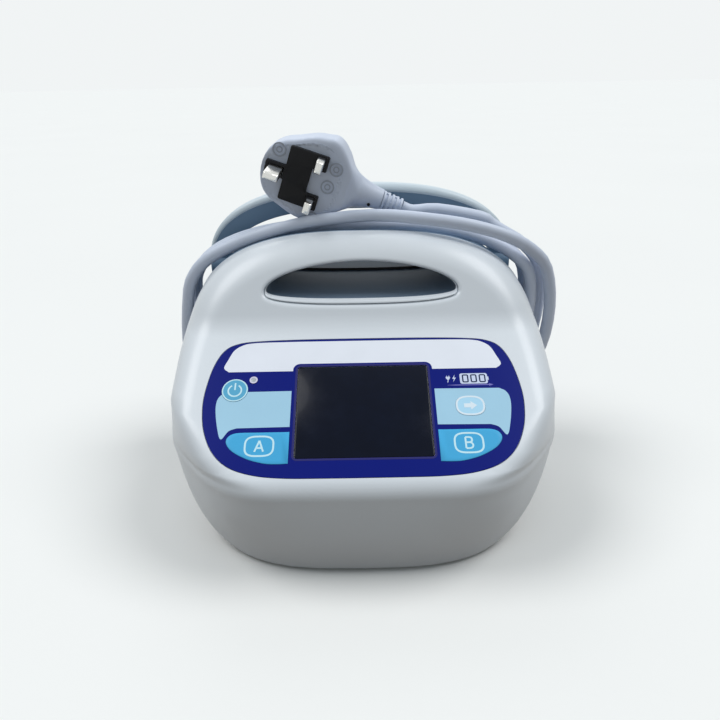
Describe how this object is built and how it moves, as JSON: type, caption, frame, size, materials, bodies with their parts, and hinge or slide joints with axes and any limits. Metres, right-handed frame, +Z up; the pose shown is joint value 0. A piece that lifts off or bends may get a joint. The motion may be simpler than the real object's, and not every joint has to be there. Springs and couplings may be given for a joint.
{
  "type": "compression therapy pump",
  "caption": "Bedside compression therapy pump with a sloping key panel, a carry handle, a folding bed hook, and its mains cord wound round the drum behind.",
  "frame": {"origin": "centre of the bounding box on the surface that the feet stand on, measured without the cord", "axes": "+X across the pump, to the right seen from the front; +Y from the front panel to the back; +Z up"},
  "size_m": [0.2252, 0.1639, 0.194],
  "materials": {
    "shell_white": "satin moulded plastic",
    "shell_slate": "satin moulded plastic",
    "panel_blue": "satin printed film",
    "window_black": "glossy clear window over a dark display",
    "key_blue": "satin printed film",
    "film_pale": "satin printed film",
    "board_green": "solder mask",
    "steel": "plain zinc-plated steel",
    "black_plastic": "satin moulded plastic",
    "clear_plastic": "clear to milky plastic",
    "rubber_black": "matt rubber",
    "cell_wrap": "shrink sleeve",
    "cord_grey": "flexible cord and plug plastic",
    "pin_metal": "nickel-plated brass"
  },
  "bodies": {
    "housing": {"front_shell": "shell_white", "rear_shell": "shell_slate", "handle_rim": "shell_white", "handle_liner": "shell_slate", "panel_overlay": "panel_blue", "display_window": "window_black", "display_board": "board_green", "lcd_module": "steel", "switch_power": "black_plastic", "switch_next": "black_plastic", "switch_a": "black_plastic", "switch_b": "black_plastic", "status_light": "clear_plastic", "case_screw_low_left": "steel", "case_screw_low_right": "steel", "case_screw_high_left": "steel", "case_screw_high_right": "steel", "port_left": "shell_white", "port_right": "shell_white", "valve_manifold": "clear_plastic", "valve_left": "steel", "valve_middle": "steel", "valve_right": "steel", "chassis_tray": "steel", "mount_front_left": "rubber_black", "mount_front_right": "rubber_black", "mount_rear_left": "rubber_black", "mount_rear_right": "rubber_black", "compressor": "steel", "compressor_head": "black_plastic", "air_tube": "clear_plastic", "battery_pack": "cell_wrap", "power_supply": "black_plastic", "main_board": "board_green", "buzzer": "black_plastic", "foot_front_left": "rubber_black", "foot_front_right": "rubber_black", "foot_rear_left": "rubber_black", "foot_rear_right": "rubber_black", "hook_bracket_left": "shell_slate", "hook_bracket_right": "shell_slate", "hook_pin_left": "steel", "hook_pin_right": "steel", "cord_gland": "shell_slate", "cord_winding": "cord_grey", "cord_tail": "cord_grey", "plug_body": "cord_grey", "plug_strain_relief": "cord_grey", "plug_carrier": "black_plastic", "pin_earth": "pin_metal", "pin_live": "pin_metal", "pin_neutral": "pin_metal"},
    "key_power": {"key_power": "key_blue"},
    "key_a": {"key_a": "key_blue"},
    "key_b": {"key_b": "key_blue"},
    "key_next": {"key_next": "film_pale"},
    "hook": {"bed_hook": "shell_slate"}
  },
  "joints": [
    {"name": "key_power_press", "type": "slide", "parent": "housing", "child": "key_power", "axis": [0, 0.515, -0.8572], "range_m": [0, 0.0008], "stiffness_N_per_m": 1200},
    {"name": "key_a_press", "type": "slide", "parent": "housing", "child": "key_a", "axis": [0, 0.515, -0.8572], "range_m": [0, 0.0008], "stiffness_N_per_m": 1200},
    {"name": "key_b_press", "type": "slide", "parent": "housing", "child": "key_b", "axis": [0, 0.515, -0.8572], "range_m": [0, 0.0008], "stiffness_N_per_m": 1200},
    {"name": "key_next_press", "type": "slide", "parent": "housing", "child": "key_next", "axis": [0, 0.515, -0.8572], "range_m": [0, 0.0008], "stiffness_N_per_m": 1200},
    {"name": "hook_hinge", "type": "hinge", "parent": "housing", "child": "hook", "pos_m": [0, 0.07445, 0.114], "axis": [-1, 0, 0], "range_deg": [0, 120]}
  ]
}
